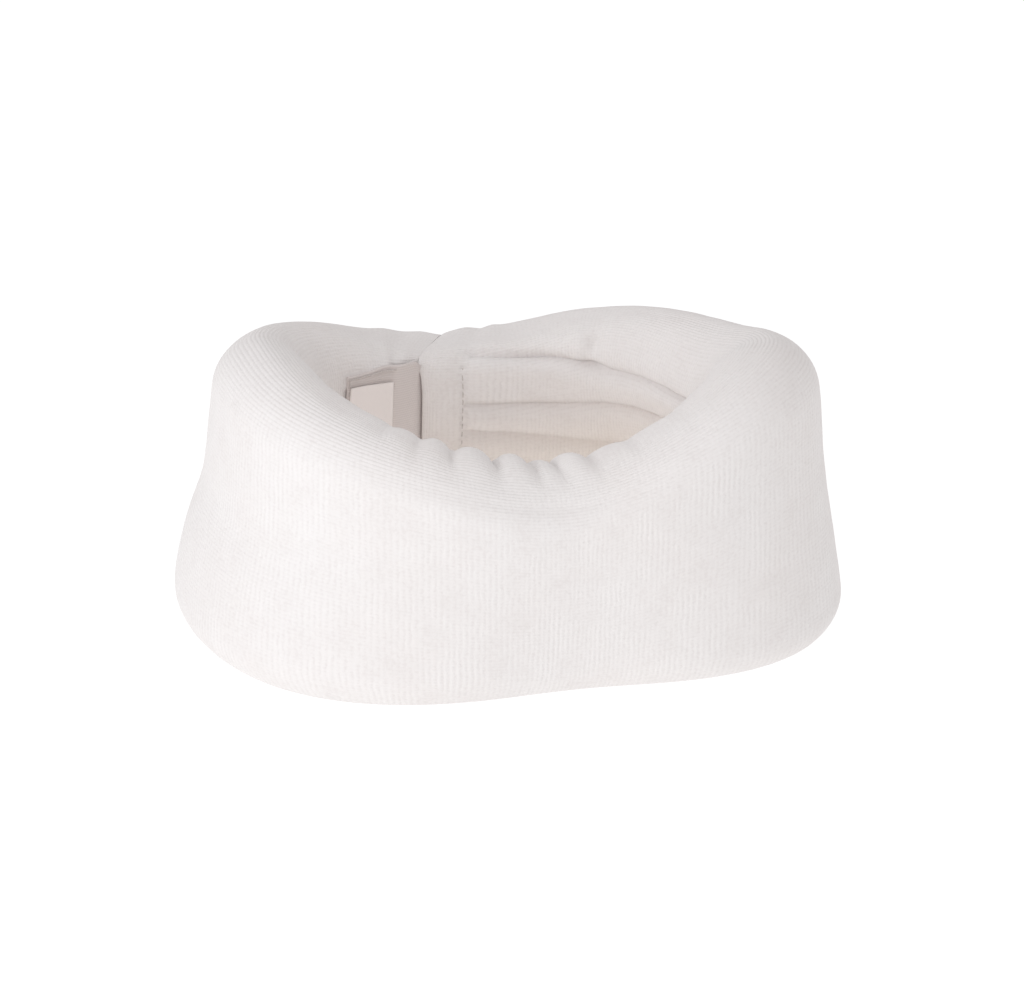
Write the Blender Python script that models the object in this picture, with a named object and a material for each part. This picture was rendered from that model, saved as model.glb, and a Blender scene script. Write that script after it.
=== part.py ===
"""Soft cervical collar: a foam strip in a knitted tubular cover, closed into a ring by a hook-and-loop tape.

The ring stands on its lower edge. The chin recess faces -Y, the closure is at the back (+Y), a little towards -X.
Foam and cover are each one flexible piece in the real collar. Here each is cut at four upright living hinges, so
that the ring can open: front, left side, left rear, right side and right rear.
All driving dimensions are in millimetres.
"""
import math

import bmesh
import bpy
import numpy as np
from mathutils import Matrix, Vector

# ---- driving dimensions (mm) -------------------------------------------------------------------------------------
PLAN_WIDTH = 160.0          # nominal oval of the strip's outer face, before the harmonics below
PLAN_DEPTH = 135.3
THICKNESS = 27.4            # over the cover
PLAN_TURN = 0.306           # how far the strip's middle sits round from the chin, radians
PLAN_COS = {2: -0.054, 3: -0.005, 4: -0.020}   # harmonics of the plan radius
PLAN_SIN = {2: -0.033, 3: -0.019, 4: -0.041}
COVER = 0.9                 # knitted cover
GAP = 0.3                   # clearance between separate pieces
FOAM_INSET = COVER + GAP    # foam is THICKNESS - 2 * FOAM_INSET = 25 mm thick
HEIGHT_AT = (-1.0, -0.75, -0.5, -0.25, 0.0, 0.25, 0.5, 0.75, 1.0)      # along the strip, -1 left end, 0 middle, 1 right end
HEIGHT = (61.5, 73.0, 79.5, 70.0, 59.5, 79.0, 75.5, 70.5, 61.5)
LEAN_AT = (-1.0, -0.5, 0.0, 0.5, 1.0)
LEAN = (7.5, 10.0, -2.5, 11.4, 7.5)            # inward lean of the wall, degrees
LEAN_FROM = 35.0            # height at which the plan is taken
TOP_ROUND = 12.5            # along the front and sides
TOP_ROUND_END = 8.0         # at the two ends
FOOT_ROUND = 11.0
END_ROUND = 5.0
END_SKEW = 0.60             # the end faces are cut at a slant: further round on the inside for the right end
SKEW_RUN = 24.0             # length over which the slant fades out
CLOSURE_TURN = 0.02         # the closure's place on the plan curve, radians
END_GAP = 2.6               # between the strip's two ends, where the tape passes through
HINGE_AT = {"left_side": -0.335, "left_rear": -0.665, "right_side": 0.185, "right_rear": 0.665}
HINGE_OUT = 0.6             # the hinge line stands this far outside the outer face's widest point
STATION = 8.0               # spacing of the cross-sections along the strip
TAPE = 1.4                  # hook tape
TAPE_LOW, TAPE_HIGH = 8.5, 59.2
TAPE_REACH = 32.0           # along the left end's inner face
TAB_REACH = 42.0            # free tab, on the right end's outer face
LOOP = 1.2                  # loop patch
LOOP_FROM, LOOP_TO = 7.0, 54.0
LOOP_LOW, LOOP_HIGH = 8.0, 58.0
LABEL = 0.5
LABEL_FROM, LABEL_TO = 7.5, 30.8
LABEL_LOW, LABEL_HIGH = 25.0, 56.0
THREAD = 0.6
HEM_IN = 9.3                # hem stitching, in from each end
HEM_LOW, HEM_HIGH = 11.0, 52.0

SAMPLES = 2400              # fine samples of the plan curve


# ---- geometry helpers ----------------------------------------------------------------------------------------------
def spline(knots, values, at):
    """Natural cubic spline through the knots."""
    x = np.array(knots, float)
    y = np.array(values, float)
    n = len(x)
    h = np.diff(x)
    a = np.eye(n)
    b = np.zeros(n)
    for i in range(1, n - 1):
        a[i, i - 1], a[i, i], a[i, i + 1] = h[i - 1], 2 * (h[i - 1] + h[i]), h[i]
        b[i] = 6 * ((y[i + 1] - y[i]) / h[i] - (y[i] - y[i - 1]) / h[i - 1])
    m = np.linalg.solve(a, b)
    at = np.clip(np.atleast_1d(np.array(at, float)), x[0], x[-1])
    k = np.clip(np.searchsorted(x, at) - 1, 0, n - 2)
    p, q = x[k + 1] - at, at - x[k]
    return (m[k] * p ** 3 + m[k + 1] * q ** 3) / (6 * h[k]) + (y[k] / h[k] - m[k] * h[k] / 6) * p + (y[k + 1] / h[k] - m[k + 1] * h[k] / 6) * q


def plan_curve():
    """Mid-line of the strip seen from above, as fine samples with arc length, outward normals and strip coordinate."""
    turn = np.linspace(-math.pi, math.pi, SAMPLES + 1) + CLOSURE_TURN
    phi = turn + PLAN_TURN
    r = np.ones_like(phi)
    for k, v in PLAN_COS.items():
        r = r + v * np.cos(k * phi)
    for k, v in PLAN_SIN.items():
        r = r + v * np.sin(k * phi)
    xy = np.stack([(PLAN_WIDTH - THICKNESS) / 2 * r * np.sin(phi), -(PLAN_DEPTH - THICKNESS) / 2 * r * np.cos(phi)], 1)
    s = np.concatenate([[0.0], np.cumsum(np.linalg.norm(np.diff(xy, axis=0), axis=1))])
    middle = s[SAMPLES // 2]
    s = s - middle
    tangent = np.gradient(xy, s, axis=0)
    tangent /= np.linalg.norm(tangent, axis=1)[:, None]
    return xy, s, tangent


CURVE_XY, CURVE_S, CURVE_T = plan_curve()
S_LEFT = CURVE_S[0] + END_GAP / 2          # end face of the left end
S_RIGHT = CURVE_S[-1] - END_GAP / 2        # end face of the right end


def strip_u(s):
    return np.where(s < 0, s / -CURVE_S[0], s / CURVE_S[-1])


def strip_s(u):
    return u * -CURVE_S[0] if u < 0 else u * CURVE_S[-1]


def frame_at(s):
    """Plan point, unit tangent (towards the right end) and outward normal at arc length s; straight beyond the ends."""
    c = min(max(s, CURVE_S[0]), CURVE_S[-1])
    p = np.array([np.interp(c, CURVE_S, CURVE_XY[:, k]) for k in (0, 1)])
    t = np.array([np.interp(c, CURVE_S, CURVE_T[:, k]) for k in (0, 1)])
    t /= np.linalg.norm(t)
    n = np.array([t[1], -t[0]])
    return p + t * (s - c), t, n


def height_at(s):
    return float(spline(HEIGHT_AT, HEIGHT, strip_u(s))[0])


def lean_at(s):
    return math.tan(math.radians(float(spline(LEAN_AT, LEAN, strip_u(s))[0])))


def smooth(x):
    x = min(max(x, 0.0), 1.0)
    return x * x * (3 - 2 * x)


def near_end(s, run):
    """1 at the strip's ends and beyond, 0 further in than run."""
    return smooth(1 - min(s - S_LEFT, S_RIGHT - s) / run)


def place(s, w, z):
    """World point for arc length s, distance w outward from the mid-line and height z, in the leaning wall."""
    s = s - END_SKEW * w * near_end(s, SKEW_RUN)
    p, t, n = frame_at(s)
    q = p + n * (w - (z - LEAN_FROM) * lean_at(s))
    return (q[0], q[1], z)


def section(height, inset, top_round):
    """Rounded cross-section as (w, z) points, anticlockwise from the foot's outer corner."""
    half = THICKNESS / 2 - inset
    low, high = inset, height - inset
    foot = max(FOOT_ROUND - inset, 0.8)
    top = max(top_round - inset, 0.8)
    foot, top = min(foot, half - 0.3), min(top, half - 0.3)
    points = []
    for cw, cz, start, r in ((half - foot, low + foot, -90, foot), (half - top, high - top, 0, top),
                             (-half + top, high - top, 90, top), (-half + foot, low + foot, 180, foot)):
        for k in range(5):
            a = math.radians(start + 90 * k / 4)
            points.append((cw + r * math.cos(a), cz + r * math.sin(a)))
        if start in (-90, 90):                      # one more point half way up each long side
            up = start == -90
            points.append((half if up else -half, (low + foot + high - top) / 2))
    return points


def ring(s, inset, extra=0.0):
    top_round = TOP_ROUND + (TOP_ROUND_END - TOP_ROUND) * near_end(s, 70.0)
    return [place(s, w, z) for w, z in section(height_at(s), inset + extra, top_round)]


def end_rings(s_end, direction, inset):
    """Rings of a rounded end; the end face stands at s_end, direction is +1 where the strip continues to larger s."""
    r = END_ROUND - inset
    out = []
    for k in range(4):
        a = math.radians(90 * k / 3)
        out.append(ring(s_end + direction * (inset + r * (1 - math.cos(a))), inset, r * (1 - math.sin(a))))
    return out


def rings(s_from, s_to, inset, cap_from=False, cap_to=False):
    """Rings from s_from to s_to, rounded where an end is a free end."""
    out = []
    a, b = s_from, s_to
    if cap_from:
        out += end_rings(s_from, 1, inset)
        a = s_from + END_ROUND
    last = []
    if cap_to:
        last = end_rings(s_to, -1, inset)[::-1]
        b = s_to - END_ROUND
    n = max(2, int(math.ceil((b - a) / STATION)))
    for k in range(n + 1):
        if (k == 0 and cap_from) or (k == n and cap_to):
            continue
        out.append(ring(a + (b - a) * k / n, inset))
    return out + last


PIECES = []


def add_mesh(name, verts, faces, slot):
    PIECES.append((name, [tuple(v) for v in verts], [tuple(f) for f in faces], slot))


def skin_faces(first, count, per, faces):
    for i in range(count - 1):
        for j in range(per):
            k = (j + 1) % per
            a, b = first + i * per, first + (i + 1) * per
            faces.append((a + j, b + j, b + k, a + k))


def solid(name, loops, slot):
    per = len(loops[0])
    verts = [p for loop in loops for p in loop]
    faces = []
    skin_faces(0, len(loops), per, faces)
    faces.append(tuple(range(per)))
    faces.append(tuple(range((len(loops) - 1) * per, len(loops) * per)))
    add_mesh(name, verts, faces, slot)


def shell(name, outer, inner, slot, closed_from, closed_to):
    """A sleeve: open where the next piece of the cover carries on, closed over a free end."""
    per = len(outer[0])
    verts = [p for loop in outer for p in loop] + [p for loop in inner for p in loop]
    base = len(outer) * per
    faces = []
    skin_faces(0, len(outer), per, faces)
    skin_faces(base, len(inner), per, faces)
    for closed, o, i in ((closed_from, 0, base), (closed_to, (len(outer) - 1) * per, base + (len(inner) - 1) * per)):
        if closed:
            faces.append(tuple(o + j for j in range(per)))
            faces.append(tuple(i + j for j in range(per)))
        else:
            for j in range(per):
                k = (j + 1) % per
                faces.append((o + j, o + k, i + k, i + j))
    add_mesh(name, verts, faces, slot)


def offset_path(path, distance):
    """Path of (s, w) points moved sideways by distance, along the mean normal at each point."""
    p = np.array(path, float)
    t = np.gradient(p, axis=0)
    t /= np.linalg.norm(t, axis=1)[:, None]
    return p + np.stack([-t[:, 1], t[:, 0]], 1) * distance


def ribbon(name, path, thick, low, high, slot, tiers=2):
    """A band standing along the (s, w) path, from height low to high."""
    a, b = offset_path(path, thick / 2), offset_path(path, -thick / 2)
    zs = [low + (high - low) * k / tiers for k in range(tiers + 1)]
    loops = []
    for (sa, wa), (sb, wb) in zip(a, b):
        loops.append([place(sa, wa, z) for z in zs] + [place(sb, wb, z) for z in zs[::-1]])
    solid(name, loops, slot)


def frame_ribbon(name, s_from, s_to, low, high, w, wide, thick, slot):
    """A rectangular outline of thread lying on a face: a closed loop of square cord."""
    def outline(inset):
        a, b, c, d = s_from + inset, s_to - inset, low + inset, high - inset
        pts = []
        n = max(2, int((s_to - s_from) / 8))
        pts += [(a + (b - a) * k / n, c) for k in range(n)]
        pts += [(b, c + (d - c) * k / 2) for k in range(2)]
        pts += [(b - (b - a) * k / n, d) for k in range(n)]
        pts += [(a, d - (d - c) * k / 2) for k in range(2)]
        return pts
    outer, inner = outline(0.0), outline(wide)
    m = len(outer)
    verts, faces = [], []
    for pts, ww in ((outer, w - thick / 2), (outer, w + thick / 2), (inner, w + thick / 2), (inner, w - thick / 2)):
        verts += [place(s, ww, z) for s, z in pts]
    for r in range(4):
        q = (r + 1) % 4
        for j in range(m):
            k = (j + 1) % m
            faces.append((r * m + j, r * m + k, q * m + k, q * m + j))
    add_mesh(name, verts, faces, slot)


# ---- the collar ----------------------------------------------------------------------------------------------------
HALF = THICKNESS / 2
cuts = {k: strip_s(v) for k, v in HINGE_AT.items()}
SEGMENTS = (("left_rear", S_LEFT, cuts["left_rear"], True, False),
            ("left_side", cuts["left_rear"], cuts["left_side"], False, False),
            ("front", cuts["left_side"], cuts["right_side"], False, False),
            ("right_side", cuts["right_side"], cuts["right_rear"], False, False),
            ("right_rear", cuts["right_rear"], S_RIGHT, False, True))
for part, a, b, cap_a, cap_b in SEGMENTS:
    a_cut = a if cap_a else a + GAP / 2
    b_cut = b if cap_b else b - GAP / 2
    solid("foam_" + part, rings(a_cut, b_cut, FOAM_INSET, cap_a, cap_b), "foam")
    shell("cover_" + part, rings(a_cut, b_cut, 0.0, cap_a, cap_b), rings(a_cut, b_cut, COVER, cap_a, cap_b), "cover", cap_a, cap_b)

# Hook tape: along the left end's inner face, round its rounded corner and out between the two ends.
clear = GAP + TAPE / 2
bend = END_ROUND + clear
path = [(S_LEFT + TAPE_REACH - (TAPE_REACH - END_ROUND) * k / 4, -HALF - clear) for k in range(5)]
path += [(S_LEFT + END_ROUND - bend * math.sin(math.radians(a)), -HALF + END_ROUND - bend * math.cos(math.radians(a)))
         for a in (18, 36, 54, 72, 90)]
path += [(S_LEFT - clear, -HALF + END_ROUND + (2 * HALF - END_ROUND + 0.6) * k / 2) for k in (1, 2)]
ribbon("hook_tape", path, TAPE, TAPE_LOW, TAPE_HIGH, "hook_tape")

# Loop patch on the outside of the right end.
loop_w = HALF + GAP + LOOP / 2
path = [(S_RIGHT - LOOP_FROM - (LOOP_TO - LOOP_FROM) * k / 6, loop_w) for k in range(7)]
ribbon("loop_patch", path, LOOP, LOOP_LOW, LOOP_HIGH, "loop_patch")
loop_top = HALF + GAP + LOOP

# Free tab of the hook tape: from the hinge line at the gap's mouth, over the right end's corner, onto the loop patch.
tab_w = loop_top + GAP + THREAD + GAP + TAPE / 2
root_s = S_RIGHT + END_GAP - clear
tab_start = (root_s - 1.2, HALF + 0.6 + GAP + TAPE / 2)
path = [tab_start, (root_s - 4.0, tab_w - 0.5), (root_s - 9.0, tab_w)]
path += [(root_s - 9.0 - (TAB_REACH - 9.0) * k / 5, tab_w) for k in range(1, 6)]
ribbon("hook_tab", path, TAPE, TAPE_LOW, TAPE_HIGH, "hook_tape")

# Blank label on the tape, inside the ring.
label_w = -HALF - GAP - TAPE - GAP - LABEL / 2
path = [(S_LEFT + LABEL_TO - (LABEL_TO - LABEL_FROM) * k / 3, label_w) for k in range(4)]
ribbon("size_label", path, LABEL, LABEL_LOW, LABEL_HIGH, "label")

# Stitching.
frame_ribbon("hook_tape_stitching", S_LEFT + 5.8, S_LEFT + TAPE_REACH - 0.2, TAPE_LOW + 0.9, TAPE_HIGH - 0.9,
             -HALF - GAP - TAPE - GAP - THREAD / 2, THREAD, THREAD, "thread")
frame_ribbon("loop_patch_stitching", S_RIGHT - LOOP_TO + 1.0, S_RIGHT - LOOP_FROM - 1.0, LOOP_LOW + 1.0, LOOP_HIGH - 1.0,
             loop_top + GAP + THREAD / 2, THREAD, THREAD, "thread")
path = [(S_RIGHT - HEM_IN + 0.3 - 0.6 * k, -HALF - GAP - THREAD / 2) for k in range(2)]
ribbon("right_hem_stitching", path, THREAD, HEM_LOW, HEM_HIGH, "thread", tiers=4)
path = [(S_LEFT + HEM_IN + 0.3 - 0.6 * k, HALF + GAP + THREAD / 2) for k in range(2)]
ribbon("left_hem_stitching", path, THREAD, HEM_LOW, HEM_HIGH, "thread", tiers=4)

# ---- axes of the hinges --------------------------------------------------------------------------------------------
AXES = {}
for part, s in cuts.items():
    p, t, n = frame_at(s)
    out = HALF + LEAN_FROM * lean_at(s)
    w = out - FOOT_ROUND * max(lean_at(s), 0.0) * 0.5 + HINGE_OUT
    q = p + n * w
    AXES[part] = ((q[0], q[1], 0.0), (0.0, 0.0, 1.0))
z_mid = (TAPE_LOW + TAPE_HIGH) / 2
p, t, n = frame_at(S_LEFT)
lean = lean_at(S_LEFT)
q = place(S_LEFT - clear, HALF + 0.6 + GAP / 2, z_mid)
AXES["hook_tab"] = (q, tuple(Vector((-n[0] * lean, -n[1] * lean, 1.0)).normalized()))

# ---- build ---------------------------------------------------------------------------------------------------------
for ob in list(bpy.data.objects):
    bpy.data.objects.remove(ob, do_unlink=True)

SLOTS = {"foam": ((0.86, 0.80, 0.62), 0.9), "cover": ((0.88, 0.86, 0.85), 0.95), "hook_tape": ((0.50, 0.48, 0.47), 0.8),
         "loop_patch": ((0.80, 0.79, 0.78), 0.95), "label": ((0.86, 0.85, 0.84), 0.6), "thread": ((0.82, 0.81, 0.80), 0.7)}
materials = {}
for slot, (colour, rough) in SLOTS.items():
    m = bpy.data.materials.new(slot)
    m.use_nodes = True
    shader = m.node_tree.nodes["Principled BSDF"]
    shader.inputs["Base Color"].default_value = colour + (1.0,)
    shader.inputs["Roughness"].default_value = rough
    m.diffuse_color = colour + (1.0,)
    materials[slot] = m

everything = np.array([v for _, verts, _, _ in PIECES for v in verts])
low, high = everything.min(0), everything.max(0)
shift = np.array([-(low[0] + high[0]) / 2, -(low[1] + high[1]) / 2, -low[2]])

scene = bpy.context.scene
empties = {}
for part, (point, direction) in AXES.items():
    e = bpy.data.objects.new("axis_" + part, None)
    e.empty_display_size = 0.02
    rest = Vector((0, 0, 1)).rotation_difference(Vector(direction)).to_matrix().to_4x4()
    e.matrix_world = Matrix.Translation(Vector((np.array(point) + shift) / 1000.0)) @ rest
    scene.collection.objects.link(e)
    empties[part] = e
empties_parent = {"left_rear": "left_side", "right_rear": "right_side", "hook_tab": "left_rear"}
for child, parent in empties_parent.items():
    empties[child].parent = empties[parent]
    empties[child].matrix_parent_inverse = empties[parent].matrix_world.inverted()

OWNER = {"hook_tape": "left_rear", "size_label": "left_rear", "hook_tape_stitching": "left_rear", "left_hem_stitching": "left_rear",
         "loop_patch": "right_rear", "loop_patch_stitching": "right_rear", "right_hem_stitching": "right_rear", "hook_tab": "hook_tab"}
for name, verts, faces, slot in PIECES:
    mesh = bpy.data.meshes.new(name)
    mesh.from_pydata([tuple((np.array(v) + shift) / 1000.0) for v in verts], [], faces)
    bm = bmesh.new()
    bm.from_mesh(mesh)
    bmesh.ops.recalc_face_normals(bm, faces=bm.faces)
    if bm.calc_volume(signed=True) < 0:
        bmesh.ops.reverse_faces(bm, faces=bm.faces)
    bmesh.ops.triangulate(bm, faces=[f for f in bm.faces if len(f.verts) > 4])
    bm.to_mesh(mesh)
    bm.free()
    smooth = name.startswith(("cover", "foam"))
    for poly in mesh.polygons:
        poly.use_smooth = smooth
    mesh.materials.append(materials[slot])
    ob = bpy.data.objects.new(name, mesh)
    scene.collection.objects.link(ob)
    owner = OWNER.get(name, name.split("_", 1)[1] if name.startswith(("foam_", "cover_")) else None)
    if owner in empties:
        ob.parent = empties[owner]
        ob.matrix_parent_inverse = empties[owner].matrix_world.inverted()
bpy.context.view_layer.update()
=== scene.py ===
"""Looks of the soft cervical collar: knitted cover, tape, label, stitching, light and camera.

Lengths in the geometry code are millimetres in the strip's own coordinates: s runs along the foam strip (0 at its
middle, negative towards the left end), v runs once round the cross-section, starting and ending under the foot.
"""
import math

import bmesh
import bpy
import numpy as np
from mathutils import Matrix, Vector


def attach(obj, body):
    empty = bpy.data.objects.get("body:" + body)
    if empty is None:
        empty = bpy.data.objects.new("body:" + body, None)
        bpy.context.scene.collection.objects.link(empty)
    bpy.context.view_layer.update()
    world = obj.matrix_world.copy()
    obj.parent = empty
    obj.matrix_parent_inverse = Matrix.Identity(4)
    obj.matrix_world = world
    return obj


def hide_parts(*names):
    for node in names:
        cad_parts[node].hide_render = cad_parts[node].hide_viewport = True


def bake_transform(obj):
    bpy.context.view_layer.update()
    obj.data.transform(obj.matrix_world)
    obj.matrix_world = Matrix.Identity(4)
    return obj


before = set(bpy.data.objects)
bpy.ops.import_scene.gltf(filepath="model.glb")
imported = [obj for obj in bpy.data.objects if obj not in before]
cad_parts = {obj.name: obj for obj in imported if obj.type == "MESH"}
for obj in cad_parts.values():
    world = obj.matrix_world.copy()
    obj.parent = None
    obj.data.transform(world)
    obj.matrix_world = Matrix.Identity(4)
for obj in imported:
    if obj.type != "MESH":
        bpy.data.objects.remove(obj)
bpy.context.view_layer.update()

# ---- the strip, as in the CAD ------------------------------------------------------------------------------------
SHIFT = np.array([-0.56139, -3.92065, 0.0])      # from the plan curve's own origin to the row frame, mm
PLAN_WIDTH, PLAN_DEPTH, THICKNESS = 160.0, 135.3, 27.4
HALF = THICKNESS / 2
PLAN_TURN, CLOSURE_TURN = 0.306, 0.02
PLAN_COS = {2: -0.054, 3: -0.005, 4: -0.020}
PLAN_SIN = {2: -0.033, 3: -0.019, 4: -0.041}
HEIGHT_AT = (-1.0, -0.75, -0.5, -0.25, 0.0, 0.25, 0.5, 0.75, 1.0)
HEIGHT = (61.5, 73.0, 79.5, 70.0, 59.5, 79.0, 75.5, 70.5, 61.5)
LEAN_AT = (-1.0, -0.5, 0.0, 0.5, 1.0)
LEAN = (7.5, 10.0, -2.5, 11.4, 7.5)
LEAN_FROM = 35.0
TOP_ROUND, TOP_ROUND_END, FOOT_ROUND, END_ROUND = 12.5, 8.0, 11.0, 5.0
END_SKEW, SKEW_RUN, END_GAP = 0.60, 24.0, 2.6
HINGE_AT = {"left_side": -0.335, "left_rear": -0.665, "right_side": 0.185, "right_rear": 0.665}
TAPE_LOW, TAPE_HIGH, TAPE_REACH, TAB_REACH = 8.5, 59.2, 33.2, 42.0
LOOP_FROM, LOOP_TO, LOOP_LOW, LOOP_HIGH = 7.0, 54.0, 8.0, 58.0
LABEL_FROM, LABEL_TO, LABEL_LOW, LABEL_HIGH = 7.5, 32.4, 25.0, 56.2
HEM_IN, HEM_LOW, HEM_HIGH = 9.3, 11.0, 52.0

# ---- the knit ----------------------------------------------------------------------------------------------------
WALES = 184                 # ribs round the tube
PER_WALE = 4                # mesh points per rib
STEP = 1.4                  # mesh step along the ribs
RIB = 0.048                 # rib height
COURSE = 1.25               # length of one stitch along the rib


def smooth(x):
    x = np.clip(x, 0.0, 1.0)
    return x * x * (3 - 2 * x)


def spline(knots, values, at):
    x, y = np.array(knots, float), np.array(values, float)
    n, h = len(x), np.diff(x)
    a, b = np.eye(n), np.zeros(n)
    for i in range(1, n - 1):
        a[i, i - 1], a[i, i], a[i, i + 1] = h[i - 1], 2 * (h[i - 1] + h[i]), h[i]
        b[i] = 6 * ((y[i + 1] - y[i]) / h[i] - (y[i] - y[i - 1]) / h[i - 1])
    m = np.linalg.solve(a, b)
    at = np.clip(np.asarray(at, float), x[0], x[-1])
    k = np.clip(np.searchsorted(x, at) - 1, 0, n - 2)
    p, q = x[k + 1] - at, at - x[k]
    return (m[k] * p ** 3 + m[k + 1] * q ** 3) / (6 * h[k]) + (y[k] / h[k] - m[k] * h[k] / 6) * p + (y[k + 1] / h[k] - m[k + 1] * h[k] / 6) * q


def plan_curve():
    phi = np.linspace(-math.pi, math.pi, 2401) + CLOSURE_TURN + PLAN_TURN
    r = np.ones_like(phi)
    for k, c in PLAN_COS.items():
        r = r + c * np.cos(k * phi)
    for k, c in PLAN_SIN.items():
        r = r + c * np.sin(k * phi)
    xy = np.stack([(PLAN_WIDTH - THICKNESS) / 2 * r * np.sin(phi), -(PLAN_DEPTH - THICKNESS) / 2 * r * np.cos(phi)], 1)
    s = np.concatenate([[0.0], np.cumsum(np.linalg.norm(np.diff(xy, axis=0), axis=1))])
    s = s - s[1200]
    t = np.gradient(xy, s, axis=0)
    return xy, s, t / np.linalg.norm(t, axis=1)[:, None]


CURVE_XY, CURVE_S, CURVE_T = plan_curve()
S_LEFT, S_RIGHT = CURVE_S[0] + END_GAP / 2, CURVE_S[-1] - END_GAP / 2


def strip_u(s):
    return np.where(s < 0, s / -CURVE_S[0], s / CURVE_S[-1])


def strip_s(u):
    return u * -CURVE_S[0] if u < 0 else u * CURVE_S[-1]


def near_end(s, run):
    return smooth(1 - np.minimum(s - S_LEFT, S_RIGHT - s) / run)


def height_at(s):
    return spline(HEIGHT_AT, HEIGHT, strip_u(s))


def lean_at(s):
    return np.tan(np.radians(spline(LEAN_AT, LEAN, strip_u(s))))


def place(s, w, z):
    """World points in metres for arrays of arc length s, distance w outward from the mid-line and height z."""
    s, w, z = np.broadcast_arrays(np.asarray(s, float), np.asarray(w, float), np.asarray(z, float))
    s = s - END_SKEW * w * near_end(s, SKEW_RUN)
    c = np.clip(s, CURVE_S[0], CURVE_S[-1])
    p = np.stack([np.interp(c, CURVE_S, CURVE_XY[:, k]) for k in (0, 1)], -1)
    t = np.stack([np.interp(c, CURVE_S, CURVE_T[:, k]) for k in (0, 1)], -1)
    t = t / np.linalg.norm(t, axis=-1)[..., None]
    n = np.stack([t[..., 1], -t[..., 0]], -1)
    q = p + t * (s - c)[..., None] + n * (w - (z - LEAN_FROM) * lean_at(s))[..., None]
    return (np.concatenate([q, z[..., None]], -1) + SHIFT) / 1000.0


def top_round_at(s):
    return TOP_ROUND + (TOP_ROUND_END - TOP_ROUND) * near_end(s, 70.0)


def section(s, v, inset, height_extra=0.0):
    """(w, z) of the rounded cross-section for stations s (n) and places v (m) round it, set in by inset (n)."""
    s = s[:, None]
    v = v[None, :]
    i = np.broadcast_to(np.asarray(inset, float), s[:, 0].shape)[:, None]
    H = height_at(s) + np.broadcast_to(np.asarray(height_extra, float), s[:, 0].shape)[:, None]
    rt, rf = top_round_at(s), FOOT_ROUND + 0 * s
    q = math.pi / 2
    lengths = [HALF - rf, q * rf, H - rf - rt, q * rt, 2 * (HALF - rt), q * rt, H - rf - rt, q * rf, HALF - rf]
    total = sum(lengths)
    edge = [0 * s]
    for x in lengths:
        edge.append(edge[-1] + x)
    at = v * total
    half, low, high = HALF - i, i, H - i
    rt2, rf2 = np.maximum(rt - i, 0.15), np.maximum(rf - i, 0.15)
    rt2, rf2 = np.minimum(rt2, half), np.minimum(rf2, half)
    w, z = np.zeros(at.shape), np.zeros(at.shape)
    for k in range(9):
        f = (at - edge[k]) / lengths[k]
        inside = (f >= -1e-9) & (f <= 1 + 1e-9)
        f = np.clip(f, 0, 1)
        if k == 0:
            a, b = f * (half - rf2), low + 0 * f
        elif k == 1:
            a, b = half - rf2 + rf2 * np.sin(f * q), low + rf2 - rf2 * np.cos(f * q)
        elif k == 2:
            a, b = half + 0 * f, low + rf2 + f * (high - rt2 - low - rf2)
        elif k == 3:
            a, b = half - rt2 + rt2 * np.cos(f * q), high - rt2 + rt2 * np.sin(f * q)
        elif k == 4:
            a, b = (half - rt2) * (1 - 2 * f), high + 0 * f
        elif k == 5:
            a, b = -half + rt2 - rt2 * np.sin(f * q), high - rt2 + rt2 * np.cos(f * q)
        elif k == 6:
            a, b = -half + 0 * f, high - rt2 - f * (high - rt2 - low - rf2)
        elif k == 7:
            a, b = -half + rf2 - rf2 * np.cos(f * q), low + rf2 - rf2 * np.sin(f * q)
        else:
            a, b = -(half - rf2) * (1 - f), low + 0 * f
        w, z = np.where(inside, a, w), np.where(inside, b, z)
    return w, z


def rim_arc(s, v):
    """Distance round the section from where the inner wall turns into the top roll: positive over the top, negative
    down the inner wall."""
    s, v = s[:, None], v[None, :]
    H, rt, q = height_at(s), top_round_at(s), math.pi / 2
    inner = HALF - FOOT_ROUND + q * FOOT_ROUND + (H - FOOT_ROUND - rt) + 2 * q * rt + 2 * (HALF - rt)
    total = inner + (H - FOOT_ROUND - rt) + q * FOOT_ROUND + HALF - FOOT_ROUND
    return inner - v * total


def bump(x, width):
    return np.exp(-(x / width) ** 2)


def body_shape(s, w, z):
    """The stuffed form: crowned walls, and the fuller foot and slight waist of the left side."""
    s = s[:, None]
    H = height_at(s)
    t = np.clip((z - 4) / (H - 8), 0, 1)
    side = np.clip(w / HALF, -1, 1)
    crown = 0.2 * np.sin(math.pi * t) * side
    left = bump(s + 105, 55.0)
    outer = smooth((side - 0.3) / 0.5)
    crown = crown + outer * left * (0.2 * bump(z - 16, 8.0) - 1.9 * bump(z - 40, 11.0) + 1.0 * bump(z - 70, 10.0))
    right = bump(s - 80, 45.0)
    crown = crown + outer * right * (0.9 * bump(z - 66, 12.0) + 0.4 * bump(z - 14, 12.0))
    return w + crown, z


def shoulder_drop(s, w, z):
    """How far the inner half of the roll slopes down at the two sides, where the strip turns hardest, mm."""
    s = s[:, None]
    deep = 9.0 * bump(s + 122.0, 42.0) + 7.5 * bump(s - 92.0, 32.0)
    inward = np.clip((6.0 - w) / (HALF + 6.0), 0, 1) ** 1.6
    return deep * inward * smooth((z - (height_at(s) - 32.0)) / 26.0)


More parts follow.
